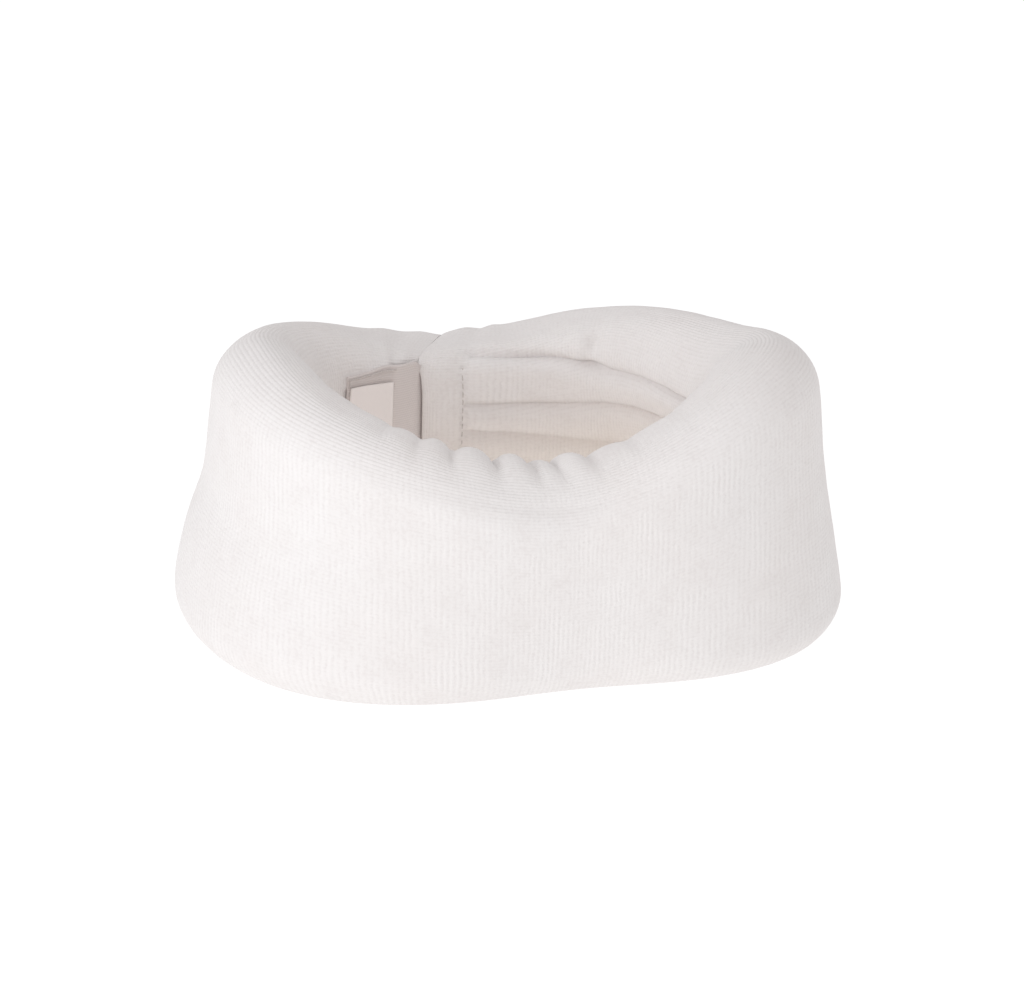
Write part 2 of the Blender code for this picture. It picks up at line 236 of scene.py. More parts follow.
def noise(a, b, scale, seed):
    """Smooth deterministic unevenness: a sum of slanted waves."""
    rng = np.random.default_rng(seed)
    out = 0.0
    for _ in range(9):
        angle, phase = rng.uniform(0, 2 * math.pi), rng.uniform(0, 2 * math.pi)
        f = rng.uniform(0.6, 1.7) / scale
        out = out + np.sin(2 * math.pi * f * (a * math.cos(angle) + b * math.sin(angle)) + phase)
    return out / 3.0


# ---- cloth simulation of the cover, on a coarse copy ---------------------------------------------------------------
def coarse_grid():
    s = np.linspace(S_LEFT + END_ROUND, S_RIGHT - END_ROUND, 76)
    v = np.arange(44) / 44.0
    w, z = section(s, v, 0.9 + 0 * s)
    w, z = body_shape(s, w, z)
    return s, v, place(s[:, None], w, z)


HOLD, PIN, PRESSURE = 0.03, 0.5, 20.0


def simulate():
    s, v, P = coarse_grid()
    n, m = P.shape[:2]
    faces = [(i * m + j, (i + 1) * m + j, (i + 1) * m + (j + 1) % m, i * m + (j + 1) % m) for i in range(n - 1) for j in range(m)]
    faces += [tuple(range(m)), tuple(range((n - 1) * m, n * m))[::-1]]
    mesh = bpy.data.meshes.new("cover_sim")
    mesh.from_pydata([tuple(p) for p in P.reshape(-1, 3)], [], faces)
    ob = bpy.data.objects.new("cover_sim", mesh)
    bpy.context.scene.collection.objects.link(ob)
    bm = bmesh.new()
    bm.from_mesh(mesh)
    bmesh.ops.recalc_face_normals(bm, faces=bm.faces)
    bm.to_mesh(mesh)
    bm.free()
    hold = ob.vertex_groups.new(name="hold")            # the foam behind the cover holds it near its place
    hold.add(list(range(n * m)), HOLD, "REPLACE")
    mod = ob.modifiers.new("Cloth", "CLOTH")
    c = mod.settings
    c.vertex_group_mass = "hold"
    c.pin_stiffness = PIN
    c.quality = 6
    c.mass = 0.15
    c.tension_stiffness = c.compression_stiffness = 12
    c.shear_stiffness = 6
    c.bending_stiffness = 0.4
    c.use_pressure = True
    c.uniform_pressure_force = PRESSURE
    c.effector_weights.gravity = 0.0
    mod.collision_settings.use_collision = False
    scene = bpy.context.scene
    start = scene.frame_current
    mod.point_cache.frame_start, mod.point_cache.frame_end = 1, 16
    for f in range(1, 17):
        scene.frame_set(f)
    dg = bpy.context.evaluated_depsgraph_get()
    got = ob.evaluated_get(dg)
    co = np.zeros(n * m * 3)
    got.data.vertices.foreach_get("co", co)
    scene.frame_set(start)
    Q = co.reshape(n, m, 3)
    bpy.data.objects.remove(ob, do_unlink=True)
    ds = np.gradient(P, axis=0)
    dv = (np.roll(P, -1, 1) - np.roll(P, 1, 1)) / 2
    N = np.cross(dv, ds)
    N /= np.linalg.norm(N, axis=2)[..., None]
    centre = P.mean(1, keepdims=True)
    if ((P - centre) * N).sum() < 0:
        N = -N
    d = ((Q - P) * N).sum(2) * 1000.0
    return s, v, np.clip(0.22 * d, -0.6, 1.2)         # foam carries most of the cover, so only a share of the swelling is kept


SIM = simulate()


def sim_offset(s, v):
    """Swelling found by the simulation, for stations s (n) and places v (m)."""
    cs, cv, d = SIM
    vv = np.concatenate([cv - 1, cv, cv + 1])
    d3 = np.concatenate([d, d, d], 1)
    rows = np.stack([np.interp(v, vv, row) for row in d3])
    out = np.stack([np.interp(s, cs, rows[:, j]) for j in range(rows.shape[1])], 1)
    return out


def soften(a, turns, axis, wrap):
    for _ in range(turns):
        if wrap:
            a = (np.roll(a, 1, axis) + 2 * a + np.roll(a, -1, axis)) / 4
        else:
            p = np.pad(a, [(1, 1) if k == axis else (0, 0) for k in range(a.ndim)], mode="edge")
            lo = np.take(p, range(0, a.shape[axis]), axis)
            hi = np.take(p, range(2, a.shape[axis] + 2), axis)
            a = (lo + 2 * a + hi) / 4
    return a


# ---- folds and gathers -----------------------------------------------------------------------------------------------
PUFFS = ((-60.0, -48.5, 0.5), (-48.5, -40.0, 1.0), (-40.0, -31.8, 2.0), (-31.8, -21.2, 3.0), (-21.2, -12.4, 3.0), (-12.4, -6.2, 1.6),
         (-6.2, 2.4, 2.6), (2.4, 13.0, 1.2), (13.0, 26.0, 0.5))          # from valley to valley along the rim, and how proud


def puffs(x):
    out = np.zeros(x.shape)
    for a, b, rise in PUFFS:
        f = np.clip(np.abs(x - (a + b) / 2) / ((b - a) / 2), 0, 1)
        out += np.where((x >= a) & (x < b), rise * (1 - f ** 2.3), 0.0)
    return out


def fold_field(s, v, w, z):
    """Displacement of the cover in mm, outward from the surface, for the folds that the bent strip shows."""
    S = s[:, None] + 0 * v[None, :]
    H = height_at(S)
    side = w / HALF
    d = np.zeros(S.shape)
    inner = smooth((-side - 0.25) / 0.5)
    # gathers over the front inner rim
    g = rim_arc(s, v)
    reach = smooth((g + 24.0) / 18.0) * smooth((33.0 - g) / 16.0)
    d += puffs(S - 0.10 * (g - 15.0) * np.tanh((S + 16.0) / 8.0)) * reach
    front = bump(S + 19.0, 30.0)
    d -= 0.2 * front * bump(g - 35.0, 1.6)
    # lengthwise folds on the right inner wall
    t = S_RIGHT - S
    along = smooth((t - HEM_IN + 0.3) / 1.6)
    for path_t, path_z, depth, width, fade in (
            ((8, 20, 33, 51, 69, 107, 140), (61.5, 60.6, 59.6, 57.9, 59.0, 62.5, 64.0), 2.1, 1.25, (135.0, 40.0)),
            ((8, 30, 48, 71, 100), (46.8, 46.3, 46.7, 47.2, 49.0), 1.9, 1.1, (100.0, 35.0)),
            ((8, 27, 51, 80), (39.6, 36.9, 34.9, 35.5), 1.5, 1.3, (84.0, 30.0)),
            ((8, 40, 80), (21.0, 19.5, 22.0), 0.7, 2.0, (90.0, 40.0))):
        zc = spline(path_t, path_z, t)
        x = z - zc
        crease = -depth * np.exp(-np.abs(x / width) ** 1.3) + 0.5 * depth * bump(x + 3.9, 3.2) + 0.28 * depth * bump(x - 4.3, 3.4)
        if depth > 2.0:
            crease *= 1 + 0.4 * bump(t - 20.0, 17.0)
        d += crease * inner * along * smooth((fade[0] - t) / fade[1])
    # short deep pocket in the top fold, and the dimple above it
    d += -1.5 * bump(t - 45.5, 4.5) * bump(z - 58.6, 1.5) * inner
    d += -1.5 * bump(t - 46.5 - 0.3 * (z - 65.0), 2.6) * bump(z - 65.0, 3.6) * smooth((-side + 0.1) / 0.5)
    d += 0.8 * (bump(t - 39.5, 4.0) + bump(t - 53.5, 4.0)) * bump(z - 65.0, 3.5) * smooth((-side + 0.1) / 0.5)
    # quieter folds inside the left wall
    tl = S - S_LEFT
    for zc, depth, lo, hi in ((24.0, 0.6, 45.0, 150.0), (44.0, 0.5, 50.0, 140.0)):
        x = z - zc - 2.0 * np.sin(tl / 23.0)
        d += (-depth * np.exp(-np.abs(x / 1.7) ** 1.5) + 0.3 * depth * bump(x + 4, 3.2)) * inner * smooth((tl - lo) / 20.0) * smooth((hi - tl) / 30.0)
    # hem: a stitched groove near each end, and the plumper strip beyond it
    for e in (t, tl):
        holes = 1.0 + 0.15 * np.cos(2 * math.pi * z / 2.3)
        d += -0.95 * holes * bump(e - HEM_IN, 0.8) * smooth((z - 6) / 6.0) * smooth((H - z - 1.0) / 6.0) * (1 if e is t else 0.6)
        d += 0.5 * bump(e - HEM_IN - 4.0, 2.6) + 0.3 * bump(e - HEM_IN + 4.5, 2.6)
    # the foot spreads a little at the left side and the front right
    outer = smooth((side - 0.25) / 0.5)
    d += (0.55 * bump(S + 100.0, 45.0) * bump(z - 26.0, 15.0) + 0.1 * bump(S - 85.0, 35.0) * bump(z - 4.0, 12.0)) * outer
    # unevenness of hand-stuffed foam
    arc = v[None, :] * (2 * H + 2 * THICKNESS - 20)
    d += (0.10 + 0.12 * inner) * noise(S, arc, 38.0, 11) + (0.03 + 0.05 * inner) * noise(S, arc, 13.0, 12)
    return d


def pressed(s, w, z):
    """Where sewn-on tape and pile hold the cover flat against the foam: 0 free, 1 flat."""
    S = s[:, None] + 0 * w
    inside = smooth((-w / HALF - 0.5) / 0.3) * smooth((S_LEFT + TAPE_REACH + 2.5 - S) / 2.5) * smooth((z - TAPE_LOW + 2.5) / 2.5) * smooth((TAPE_HIGH + 2.0 - z) / 2.5)
    end = smooth((S_LEFT + END_ROUND - S) / 2.0) * smooth((z - TAPE_LOW + 2.5) / 2.5) * smooth((TAPE_HIGH - 3.0 - z) / 2.5)
    t = S_RIGHT - S
    outside = smooth((w / HALF - 0.5) / 0.3) * smooth((LOOP_TO + 2.5 - t) / 2.5) * smooth((z - LOOP_LOW + 2.5) / 2.5) * smooth((LOOP_HIGH + 2.5 - z) / 2.5)
    return np.maximum(np.maximum(inside, end), outside)


# ---- the cover -------------------------------------------------------------------------------------------------------
def station_list():
    """Stations along the strip with the inset and the lengthwise dimple of the closed ends."""
    rows = []                                   # (s, inset, dent)
    for k in range(22, 0, -1):                  # the closed end, from its middle seam outwards
        i = END_ROUND + (HALF - 0.05 - END_ROUND) * (k / 22.0)
        rows.append((S_LEFT, i, ((i - END_ROUND) / (HALF - END_ROUND))))
    for k in range(9):
        a = math.radians(90 * k / 8)
        rows.append((S_LEFT + END_ROUND * (1 - math.cos(a)), END_ROUND * (1 - math.sin(a)), 0.0))
    n = int(round((S_RIGHT - S_LEFT - 2 * END_ROUND) / STEP))
    body = [(S_LEFT + END_ROUND + (S_RIGHT - S_LEFT - 2 * END_ROUND) * k / n, 0.0, 0.0) for k in range(1, n)]
    right = [(S_LEFT + S_RIGHT - s, i, d) for s, i, d in rows[::-1]]
    return np.array(rows + body + right)


ROWS = station_list()
COLS = np.arange(WALES * PER_WALE) / float(WALES * PER_WALE)


def height_extra(s):
    return (-1.1 * bump(s - (S_LEFT + 11), 11.0) - 2.6 * bump(s - (S_RIGHT - 21), 14.0) - 0.9 * bump(s - (S_RIGHT - 42), 14.0)
            + 0.4 * bump(s - (S_RIGHT - 1), 6.0) - 0.7 * bump(s - (S_RIGHT - 9), 7.0) - 0.8 * bump(s + 125, 25.0) - 0.5 * bump(s + 122, 14.0) - 0.6 * bump(s - 108, 16.0))


def cover_points():
    s, inset, dent = ROWS.T
    v = COLS
    w, z = section(s, v, inset, height_extra(s))
    live = np.clip(1 - inset / END_ROUND, 0, 1)[:, None]
    w2, z2 = body_shape(s, w, z)
    w = w + (w2 - w) * live * (1 - pressed(s, w, z))
    w = w + 1.3 * bump(s - 44.0, 28.0)[:, None] * smooth(w / HALF) * bump(z, 9.0)          # fuller foot at the front right
    direction = np.where(s < 0, 1.0, -1.0)[:, None]
    # the two ends meet with full upper corners, and touch above the tape that passes between them
    shrink = np.where(inset <= END_ROUND, inset, END_ROUND * (HALF - inset) / (HALF - END_ROUND))[:, None]
    upper = smooth((z / height_at(s)[:, None] - 0.62) / 0.25)
    z = z + (np.where(s < 0, 0.86, 0.82)[:, None] - 0.34 * (s > 0)[:, None] * smooth((-w - 2.0) / 9.0)) * shrink * upper
    # the right end's inner edge is full too, and hides the tape's bend
    inner_edge = smooth((-w / HALF + 0.1) / 0.4) * (s > 0)[:, None]
    w = w - 0.6 * shrink * inner_edge
    meet = smooth(inset / END_ROUND)[:, None] * (1 - dent[:, None] * 0.5) * smooth((z - 55.0) / 5.0)
    S = s[:, None] + direction * (1.6 * dent[:, None] ** 1.5 * (1 - upper) - 1.2 * meet - 0.55 * smooth(inset / END_ROUND)[:, None] * inner_edge)
    S = S + (0.2 + 0.8 * smooth((w + 12.0) / 14.0)) * smooth((z - 46.0) / 12.0) * near_end(s, 16.0)[:, None]
    S = S - 0.5 * smooth((-w - 2.0) / 8.0) * (1 - smooth((z - 50.0) / 10.0)) * near_end(s, 16.0)[:, None]
    P = place(S, w, z - shoulder_drop(s, w, z))
    ds = np.gradient(P, axis=0)
    dv = (np.roll(P, -1, 1) - np.roll(P, 1, 1)) / 2
    N = np.cross(dv, ds)
    N /= np.maximum(np.linalg.norm(N, axis=2), 1e-12)[..., None]
    body = (s > -20) & (s < 20) & (inset == 0)
    centre = P[body].mean(1, keepdims=True)
    if ((P[body] - centre) * N[body]).sum() < 0:
        N = -N
    N = soften(soften(N, 2, 0, False), 6, 1, True)
    N /= np.maximum(np.linalg.norm(N, axis=2), 1e-12)[..., None]
    d = sim_offset(s, v)
    d = soften(soften(d, 10, 0, False), 24, 1, True)
    d = d + fold_field(s, v, w, z)
    foot = smooth((z - 0.2) / 5.0)                     # the foot stays flat where it stands
    down = np.clip(-N[..., 2], 0, 1)
    d = d * (1 - (1 - foot) * down)
    d = d * (0.15 + 0.85 * live)
    flat = pressed(s, w, z)
    d = d * (1 - flat) + np.minimum(d, -0.12) * flat * 0.6
    # the closed end is drawn together in small puckers
    pucker = np.clip(dent, 0, 1)[:, None]
    d = d + 0.35 * pucker * (1 - pucker) * 4 * np.sin(2 * math.pi * 34 * v)[None, :] * (0.6 + 0.4 * np.sin(2 * math.pi * 5 * v + 1.0))[None, :]
    wave = np.cos(2 * math.pi * WALES * v)
    rib = ((0.5 + 0.5 * wave) ** 0.8)[None, :] - 0.6
    stretch = RIB * (0.45 + 1.75 * smooth(N[..., 2] + 0.15))         # the ribs open where the cloth is stretched over the roll
    d = d + rib * stretch * (1 - 0.75 * pucker)
    P = P + N * (d / 1000.0)[..., None]
    P[..., 2] = np.maximum(P[..., 2], 0.0001 * (0.5 + 0.5 * wave)[None, :] * 0.6)
    return P


def grid_normals(P):
    ds = np.gradient(P, axis=0)
    dv = (np.roll(P, -1, 1) - np.roll(P, 1, 1)) / 2
    N = np.cross(dv, ds)
    N /= np.maximum(np.linalg.norm(N, axis=2), 1e-12)[..., None]
    mid = len(P) // 2
    if ((P[mid] - P[mid].mean(0)) * N[mid]).sum() < 0:
        N = -N
    return N


def make_mesh(name, verts, faces, uvs=None):
    mesh = bpy.data.meshes.new(name)
    mesh.from_pydata(verts, [], faces)
    if uvs is not None:
        layer = mesh.uv_layers.new(name="strip")
        layer.data.foreach_set("uv", np.asarray(uvs, np.float32).ravel())
    mesh.polygons.foreach_set("use_smooth", [True] * len(mesh.polygons))
    mesh.update()
    ob = bpy.data.objects.new(name, mesh)
    bpy.context.scene.collection.objects.link(ob)
    return ob


COVER_P = cover_points()
COVER_N = grid_normals(COVER_P)
ROLL = smooth(COVER_N[..., 2] + 0.15)                  # 1 over the top roll, 0 on the walls
SECT_W, SECT_Z = section(ROWS[:, 0], COLS, ROWS[:, 1], height_extra(ROWS[:, 0]))
# mask for the painted warm shade: low on the inner wall, deep inside the ring
INNER_SHADE_MASK = smooth((-SECT_W / HALF + 0.1) / 0.8) * smooth((height_at(ROWS[:, 0])[:, None] - 11.0 - SECT_Z) / 32.0)
CUTS = {k: strip_s(u) for k, u in HINGE_AT.items()}


def row_near(s):
    return int(np.argmin(np.abs(ROWS[:, 0] - s) + 10 * ROWS[:, 1]))


R0, R4 = 0, len(ROWS) - 1
R1 = row_near((CUTS["left_rear"] + CUTS["left_side"]) / 2)
R2 = row_near(-14.0)
R3 = row_near((CUTS["right_side"] + CUTS["right_rear"]) / 2)


def cover_piece(name, r0, r1):
    m = len(COLS)
    P = COVER_P[r0:r1 + 1]
    n = len(P)
    i, j = np.meshgrid(np.arange(n - 1), np.arange(m), indexing="ij")
    k = (j + 1) % m
    quad = np.stack([i * m + j, (i + 1) * m + j, (i + 1) * m + k, i * m + k], -1).reshape(-1, 4)
    run = ROWS[r0:r1 + 1, 0] + np.where(ROWS[r0:r1 + 1, 0] < 0, -1, 1) * ROWS[r0:r1 + 1, 1]
    u = np.stack([run[i], run[i + 1], run[i + 1], run[i]], -1) / 1000.0
    vv = np.stack([j, j, j + 1, j + 1], -1) / float(PER_WALE) / 1000.0
    uv = np.stack([u, vv], -1).reshape(-1, 2)
    # face the quads outward
    a = P.reshape(-1, 3)[quad[len(quad) // 2]]
    nf = np.cross(a[1] - a[0], a[2] - a[0])
    if nf @ COVER_N[r0:r1 + 1].reshape(-1, 3)[quad[len(quad) // 2][0]] < 0:
        quad = quad[:, ::-1]
        uv = uv.reshape(-1, 4, 2)[:, ::-1].reshape(-1, 2)
    ob = make_mesh(name, [tuple(p) for p in P.reshape(-1, 3).tolist()], [tuple(q) for q in quad.tolist()], uv)
    for label, field in (("roll", ROLL), ("inner_shade", INNER_SHADE_MASK)):
        ob.data.attributes.new(label, "FLOAT", "POINT").data.foreach_set("value", field[r0:r1 + 1].astype(np.float32).ravel())
    normals = COVER_N[r0:r1 + 1].reshape(-1, 3)
    ob.data.normals_split_custom_set_from_vertices([tuple(x) for x in normals.tolist()])
    return ob


# ---- materials -------------------------------------------------------------------------------------------------------
class Nodes:
    """Short hand for building a shader."""

    def __init__(self, name, rough=0.9):
        self.m = bpy.data.materials.new(name)
        self.m.use_nodes = True
        self.t = self.m.node_tree
        self.b = self.t.nodes["Principled BSDF"]
        self.b.inputs["Roughness"].default_value = rough

    def add(self, kind, **props):
        n = self.t.nodes.new(kind)
        for k, v in props.items():
            setattr(n, k, v)
        return n

    def link(self, a, b):
        self.t.links.new(a, b)

    def math(self, op, a, b=None, c=None):
        n = self.add("ShaderNodeMath", operation=op)
        for k, x in enumerate((a, b, c)):
            if x is None:
                continue
            if isinstance(x, (int, float)):
                n.inputs[k].default_value = x
            else:
                self.link(x, n.inputs[k])
        return n.outputs[0]

    def ramp(self, value, stops):
        n = self.add("ShaderNodeValToRGB")
        n.color_ramp.elements[0].position, n.color_ramp.elements[0].color = stops[0][0], stops[0][1] + (1,)
        n.color_ramp.elements[1].position, n.color_ramp.elements[1].color = stops[-1][0], stops[-1][1] + (1,)
        for pos, col in stops[1:-1]:
            e = n.color_ramp.elements.new(pos)
            e.color = col + (1,)
        self.link(value, n.inputs["Fac"])
        return n.outputs["Color"]

    def bump(self, height, distance, strength=1.0):
        n = self.add("ShaderNodeBump")
        n.inputs["Distance"].default_value = distance
        n.inputs["Strength"].default_value = strength
        self.link(height, n.inputs["Height"])
        self.link(n.outputs["Normal"], self.b.inputs["Normal"])
        return n


def knit_material():
    k = Nodes("cover_knit", 0.95)
    uv = k.add("ShaderNodeUVMap", uv_map="strip")
    xyz = k.add("ShaderNodeSeparateXYZ")
    k.link(uv.outputs["UV"], xyz.inputs["Vector"])
    tex = k.add("ShaderNodeTexCoord")
    along = k.math("MULTIPLY", xyz.outputs["X"], 1000.0 / COURSE)        # stitches along the rib
    wale = k.math("MULTIPLY", xyz.outputs["Y"], 1000.0)                  # ribs round the tube

    def noise_tex(scale, detail):
        n = k.add("ShaderNodeTexNoise")
        n.inputs["Scale"].default_value = scale
        n.inputs["Detail"].default_value = detail
        k.link(tex.outputs["Object"], n.inputs["Vector"])
        return n.outputs["Fac"]

    roll = k.add("ShaderNodeAttribute", attribute_name="roll").outputs["Fac"]
    inner_shade = k.add("ShaderNodeAttribute", attribute_name="inner_shade").outputs["Fac"]
    wobble = k.math("MULTIPLY", k.math("SUBTRACT", noise_tex(230.0, 4.0), 0.5), 0.9)
    a = k.math("SUBTRACT", k.math("FRACT", k.math("ADD", wale, k.math("MULTIPLY_ADD", wobble, 0.3, 0.5))), 0.5)    # 0 on the rib's crown
    off = k.math("ABSOLUTE", a)
    # each stitch is a V: its two legs slope along the rib
    phase = k.math("ADD", k.math("ADD", along, k.math("MULTIPLY", off, 0.25)), wobble)
    leg = k.math("MULTIPLY_ADD", k.math("SINE", k.math("MULTIPLY", phase, 2 * math.pi)), 0.5, 0.5)
    crown = k.math("SUBTRACT", 1.0, k.math("POWER", k.math("MULTIPLY", off, 2.0), 2.2))
    # the columns of stitches show on the walls, the ribs where the cloth is stretched over the roll, both unevenly
    patchy = k.math("MAXIMUM", k.math("MULTIPLY_ADD", noise_tex(120.0, 4.0), 2.6, -0.85), 0.06)
    columns = k.math("MULTIPLY", k.math("MULTIPLY", leg, patchy), k.math("MULTIPLY_ADD", roll, -0.6, 1.0))
    ribs = k.math("MULTIPLY", crown, k.math("MULTIPLY_ADD", roll, 0.27, k.math("MULTIPLY_ADD", noise_tex(150.0, 2.0), 0.5, -0.08)))
    height = k.math("ADD", k.math("ADD", columns, ribs), k.math("MULTIPLY_ADD", roll, -0.02, 0.10))
    height = k.math("ADD", height, k.math("MULTIPLY", k.math("SUBTRACT", noise_tex(1000.0, 1.0), 0.5), 1.1))
    height = k.math("ADD", height, k.math("MULTIPLY", k.math("SUBTRACT", noise_tex(3200.0, 2.0), 0.5), 0.5))
    k.bump(height, 0.00016, 0.5)
    # a slightly pink white with faint broad unevenness; painted shade makes it a touch darker between ribs and
    # stitches, and darker and warmer deep inside the ring
    # painted shade: the colour follows the bump height, darker where the height is low
    deep = k.ramp(height, [(0.0, (0.780, 0.743, 0.731)), (0.4, (0.820, 0.788, 0.777)), (1.0, (0.845, 0.814, 0.803))])
    mix = k.add("ShaderNodeMix", data_type="RGBA", blend_type="MULTIPLY")
    mix.inputs["Factor"].default_value = 1.0
    k.link(deep, mix.inputs[6])
    k.link(k.ramp(noise_tex(30.0, 4.0), [(0.3, (0.985, 0.975, 0.97)), (0.7, (1.0, 1.0, 1.0))]), mix.inputs[7])
    # painted shade: darker and warmer low on the inner wall, standing in for the warm light bounced round inside the
    # ring
    painted_warm_shade = k.add("ShaderNodeMix", data_type="RGBA", blend_type="MULTIPLY")
    painted_warm_shade.inputs["Factor"].default_value = 1.0
    k.link(mix.outputs[2], painted_warm_shade.inputs[6])
    k.link(k.ramp(inner_shade, [(0.0, (1.0, 1.0, 1.0)), (0.5, (0.985, 0.965, 0.945)), (1.0, (0.985, 0.945, 0.89))]), painted_warm_shade.inputs[7])
    k.link(painted_warm_shade.outputs[2], k.b.inputs["Base Color"])
    k.b.inputs["Sheen Weight"].default_value = 0.15
    k.b.inputs["Sheen Roughness"].default_value = 0.5
    k.b.inputs["Specular IOR Level"].default_value = 0.2
    return k.m


def tape_material(name, light, dark, twill=0.55, fuzz=900.0):
    """Woven tape: warp ribs along its length and a fine weft, in strip coordinates."""
    k = Nodes(name, 0.75)
    uv = k.add("ShaderNodeUVMap", uv_map="strip")
    xyz = k.add("ShaderNodeSeparateXYZ")
    k.link(uv.outputs["UV"], xyz.inputs["Vector"])
    x = k.math("MULTIPLY", xyz.outputs["X"], 1000.0 * 2 * math.pi / twill)
    y = k.math("MULTIPLY", xyz.outputs["Y"], 1000.0 * 2 * math.pi / (twill * 1.15))
    warp = k.math("MULTIPLY_ADD", k.math("SINE", y), 0.5, 0.5)
    weft = k.math("MULTIPLY_ADD", k.math("MULTIPLY", k.math("SINE", x), k.math("SINE", k.math("MULTIPLY", y, 0.5))), 0.5, 0.5)
    tex = k.add("ShaderNodeTexCoord")
    n = k.add("ShaderNodeTexNoise")
    n.inputs["Scale"].default_value = fuzz
    n.inputs["Detail"].default_value = 3.0
    k.link(tex.outputs["Object"], n.inputs["Vector"])
    height = k.math("ADD", k.math("ADD", k.math("MULTIPLY", warp, 0.5), k.math("MULTIPLY", weft, 0.5)), k.math("MULTIPLY", n.outputs["Fac"], 0.4))
    k.bump(height, 0.0001, 0.45)
    # painted shade: the colour follows the weave's bump height, darker in its low points
    k.link(k.ramp(height, [(0.2, dark), (1.0, light)]), k.b.inputs["Base Color"])
    k.b.inputs["Sheen Weight"].default_value = 0.15
    k.b.inputs["Specular IOR Level"].default_value = 0.3
    return k.m


def pile_material(name, light, dark):
    """Brushed loop pile: tangled short loops."""
    k = Nodes(name, 0.95)
    tex = k.add("ShaderNodeTexCoord")
    v = k.add("ShaderNodeTexVoronoi", feature="SMOOTH_F1")
    v.inputs["Scale"].default_value = 2600.0
    k.link(tex.outputs["Object"], v.inputs["Vector"])
    n = k.add("ShaderNodeTexNoise")
    n.inputs["Scale"].default_value = 1500.0
    n.inputs["Detail"].default_value = 3.0
    k.link(tex.outputs["Object"], n.inputs["Vector"])
    height = k.math("ADD", k.math("MULTIPLY", v.outputs["Distance"], 0.6), k.math("MULTIPLY", n.outputs["Fac"], 0.8))
    k.bump(height, 0.00014, 0.7)
    # painted shade: the colour follows the bump height, darker in the hollows between the loops
    k.link(k.ramp(height, [(0.3, dark), (0.9, light)]), k.b.inputs["Base Color"])
    k.b.inputs["Sheen Weight"].default_value = 0.4
    return k.m


def thread_material():
    k = Nodes("thread_spun", 0.7)
    tex = k.add("ShaderNodeTexCoord")
    n = k.add("ShaderNodeTexNoise")
    n.inputs["Scale"].default_value = 2600.0
    k.link(tex.outputs["Object"], n.inputs["Vector"])
    k.bump(n.outputs["Fac"], 0.0001, 0.6)
    # painted shade: the same noise drives the bump and the colour, darker in the low spots
    k.link(k.ramp(n.outputs["Fac"], [(0.3, (0.54, 0.485, 0.46)), (0.7, (0.70, 0.65, 0.625))]), k.b.inputs["Base Color"])
    return k.m


def foam_material():
    k = Nodes("foam_cells", 0.95)
    tex = k.add("ShaderNodeTexCoord")
    v = k.add("ShaderNodeTexVoronoi")
    v.inputs["Scale"].default_value = 900.0
    k.link(tex.outputs["Object"], v.inputs["Vector"])
    k.bump(v.outputs["Distance"], 0.0006, 0.8)
    # painted shade: the colour follows the cell bump, darker in the pits of the cells
    k.link(k.ramp(v.outputs["Distance"], [(0.0, (0.62, 0.54, 0.36)), (0.7, (0.88, 0.82, 0.64))]), k.b.inputs["Base Color"])
    return k.m


MAT_KNIT = knit_material()
MAT_TAPE = tape_material("hook_tape_weave", (0.735, 0.675, 0.655), (0.645, 0.585, 0.567))
MAT_LABEL = tape_material("label_satin", (0.945, 0.885, 0.862), (0.905, 0.842, 0.82), twill=0.3, fuzz=1500.0)
MAT_LOOP = pile_material("loop_pile", (0.86, 0.825, 0.81), (0.74, 0.70, 0.685))
MAT_THREAD = thread_material()
MAT_FOAM = foam_material()

# ---- cover pieces ------------------------------------------------------------------------------------------------------
def mid_point(s, z=35.0):
    return tuple(place(s, 0.0, z).tolist())


BLENDS = (("cover_left_back", R0, R1, "left_side", "left_rear", CUTS["left_rear"] + 16, CUTS["left_rear"] - 12, ("cover_left_rear", "cover_left_side")),
          ("cover_left_front", R1, R2, "front", "left_side", CUTS["left_side"] + 15, CUTS["left_side"] - 15, ("cover_left_side", "cover_front")),
          ("cover_right_front", R2, R3, "front", "right_side", CUTS["right_side"] - 15, CUTS["right_side"] + 15, ("cover_front", "cover_right_side")),
          ("cover_right_back", R3, R4, "right_side", "right_rear", CUTS["right_rear"] - 17, CUTS["right_rear"] + 8, ("cover_right_side", "cover_right_rear")))
for name, r0, r1, a, b, start, end, nodes in BLENDS:
    ob = cover_piece(name, r0, r1)
    ob.data.materials.append(MAT_KNIT)
    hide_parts(*nodes)
    mid_point(start)
    mid_point(end)
    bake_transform(ob)

# foam core, seen only if the cover is taken off: one strip, cut at the same places as the cover
def foam_piece(name, s0, s1):
    s = np.linspace(s0, s1, max(8, int((s1 - s0) / 3.0)))
    v = np.arange(48) / 48.0
    w, z = section(s, v, 6.0 + 0 * s)
    P = place(s[:, None], w, z - shoulder_drop(s, w, z))
    n, m = P.shape[:2]
    faces = [(i * m + j, (i + 1) * m + j, (i + 1) * m + (j + 1) % m, i * m + (j + 1) % m) for i in range(n - 1) for j in range(m)]
    faces += [tuple(range(m)), tuple(range((n - 1) * m, n * m))[::-1]]
    ob = make_mesh(name, [tuple(p) for p in P.reshape(-1, 3).tolist()], faces)
    bm = bmesh.new()
    bm.from_mesh(ob.data)
    bmesh.ops.recalc_face_normals(bm, faces=bm.faces)
    bm.to_mesh(ob.data)
    bm.free()
    ob.data.materials.append(MAT_FOAM)
    return ob


for name, r0, r1, a, b, start, end, nodes in BLENDS:
    s0 = max(ROWS[r0, 0], S_LEFT + 4.5) + 0.2
    s1 = min(ROWS[r1, 0], S_RIGHT - 4.5) - 0.2
    ob = foam_piece(name.replace("cover", "foam_core"), s0, s1)
    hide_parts(*[x.replace("cover", "foam") for x in nodes])
    mid_point(start)
    mid_point(end)
    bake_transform(ob)


